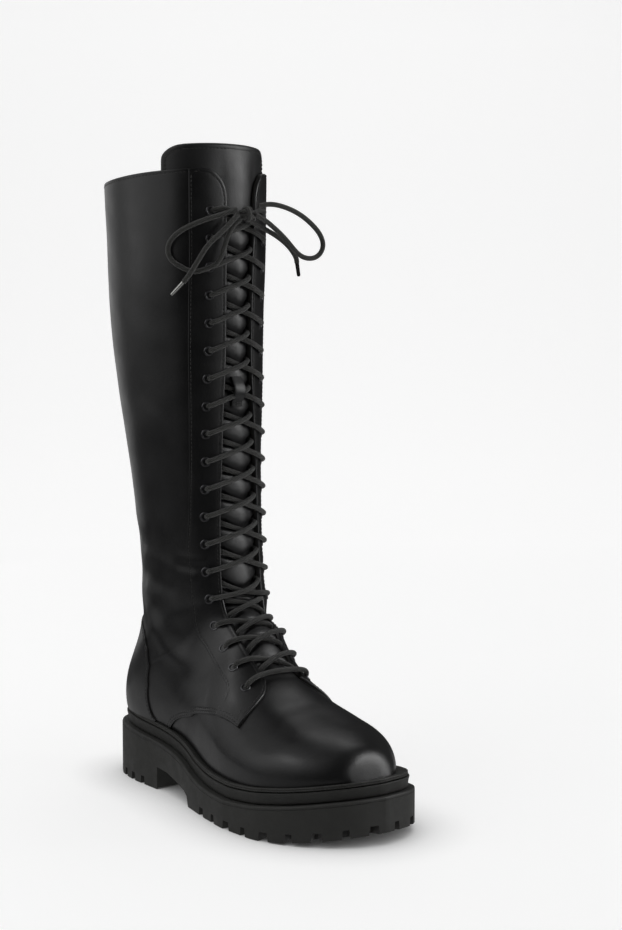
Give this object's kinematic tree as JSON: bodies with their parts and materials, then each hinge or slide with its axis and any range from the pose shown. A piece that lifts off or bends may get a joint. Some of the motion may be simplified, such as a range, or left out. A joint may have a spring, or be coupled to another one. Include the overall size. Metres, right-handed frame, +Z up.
{
  "type": "knee-high lace-up boot",
  "caption": "Right knee-high leather boot with full-length front lacing, an inside zip, a heel counter and a thick lugged rubber sole.",
  "frame": {"origin": "on the floor under the middle of the boot's bounding box, the free lace ends left out", "axes": "+Z up, toe towards -Y, heel towards +Y, the medial (zip) side towards +X"},
  "size_m": [0.1364, 0.2948, 0.4696],
  "materials": {
    "black_leather": "smooth semi-gloss black leather",
    "tongue_leather": "soft black leather, a little duller",
    "sole_rubber": "matte charcoal moulded rubber",
    "insole_board": "dark lined sock on a board",
    "lace_cord": "matte braided cord",
    "lace_tip": "bright crimped metal aglet",
    "black_metal": "black lacquered metal",
    "zip_fabric": "black woven zip tape"
  },
  "bodies": {
    "boot": {"aglet_lateral": "lace_tip", "aglet_medial": "lace_tip", "eyelet_lateral_01": "black_metal", "eyelet_lateral_02": "black_metal", "eyelet_lateral_03": "black_metal", "eyelet_lateral_04": "black_metal", "eyelet_lateral_05": "black_metal", "eyelet_lateral_06": "black_metal", "eyelet_lateral_07": "black_metal", "eyelet_lateral_08": "black_metal", "eyelet_lateral_09": "black_metal", "eyelet_lateral_10": "black_metal", "eyelet_lateral_11": "black_metal", "eyelet_lateral_12": "black_metal", "eyelet_lateral_13": "black_metal", "eyelet_lateral_14": "black_metal", "eyelet_lateral_15": "black_metal", "eyelet_lateral_16": "black_metal", "eyelet_lateral_17": "black_metal", "eyelet_lateral_18": "black_metal", "eyelet_lateral_19": "black_metal", "eyelet_medial_01": "black_metal", "eyelet_medial_02": "black_metal", "eyelet_medial_03": "black_metal", "eyelet_medial_04": "black_metal", "eyelet_medial_05": "black_metal", "eyelet_medial_06": "black_metal", "eyelet_medial_07": "black_metal", "eyelet_medial_08": "black_metal", "eyelet_medial_09": "black_metal", "eyelet_medial_10": "black_metal", "eyelet_medial_11": "black_metal", "eyelet_medial_12": "black_metal", "eyelet_medial_13": "black_metal", "eyelet_medial_14": "black_metal", "eyelet_medial_15": "black_metal", "eyelet_medial_16": "black_metal", "eyelet_medial_17": "black_metal", "eyelet_medial_18": "black_metal", "eyelet_medial_19": "black_metal", "heel_counter": "black_leather", "insole": "insole_board", "lace_crossings": "lace_cord", "lace_end_lateral": "lace_cord", "lace_end_medial": "lace_cord", "lace_keeper": "tongue_leather", "lace_knot": "lace_cord", "lace_loop_lateral": "lace_cord", "lace_loop_medial": "lace_cord", "midsole": "sole_rubber", "outsole": "sole_rubber", "tongue": "tongue_leather", "tongue_top": "tongue_leather", "upper": "black_leather", "welt": "sole_rubber", "zip_slider": "black_metal", "zip_tape": "zip_fabric", "zip_teeth": "black_metal"},
    "pull_tab": {"zip_pull_tab": "black_metal"}
  },
  "joints": [
    {"name": "pull_tab_swing", "type": "hinge", "parent": "boot", "child": "pull_tab", "pos_m": [0.06022, 0.08489, 0.43442], "axis": [0.0119, -0.9999, 0.0125], "range_deg": [0, 170]}
  ]
}
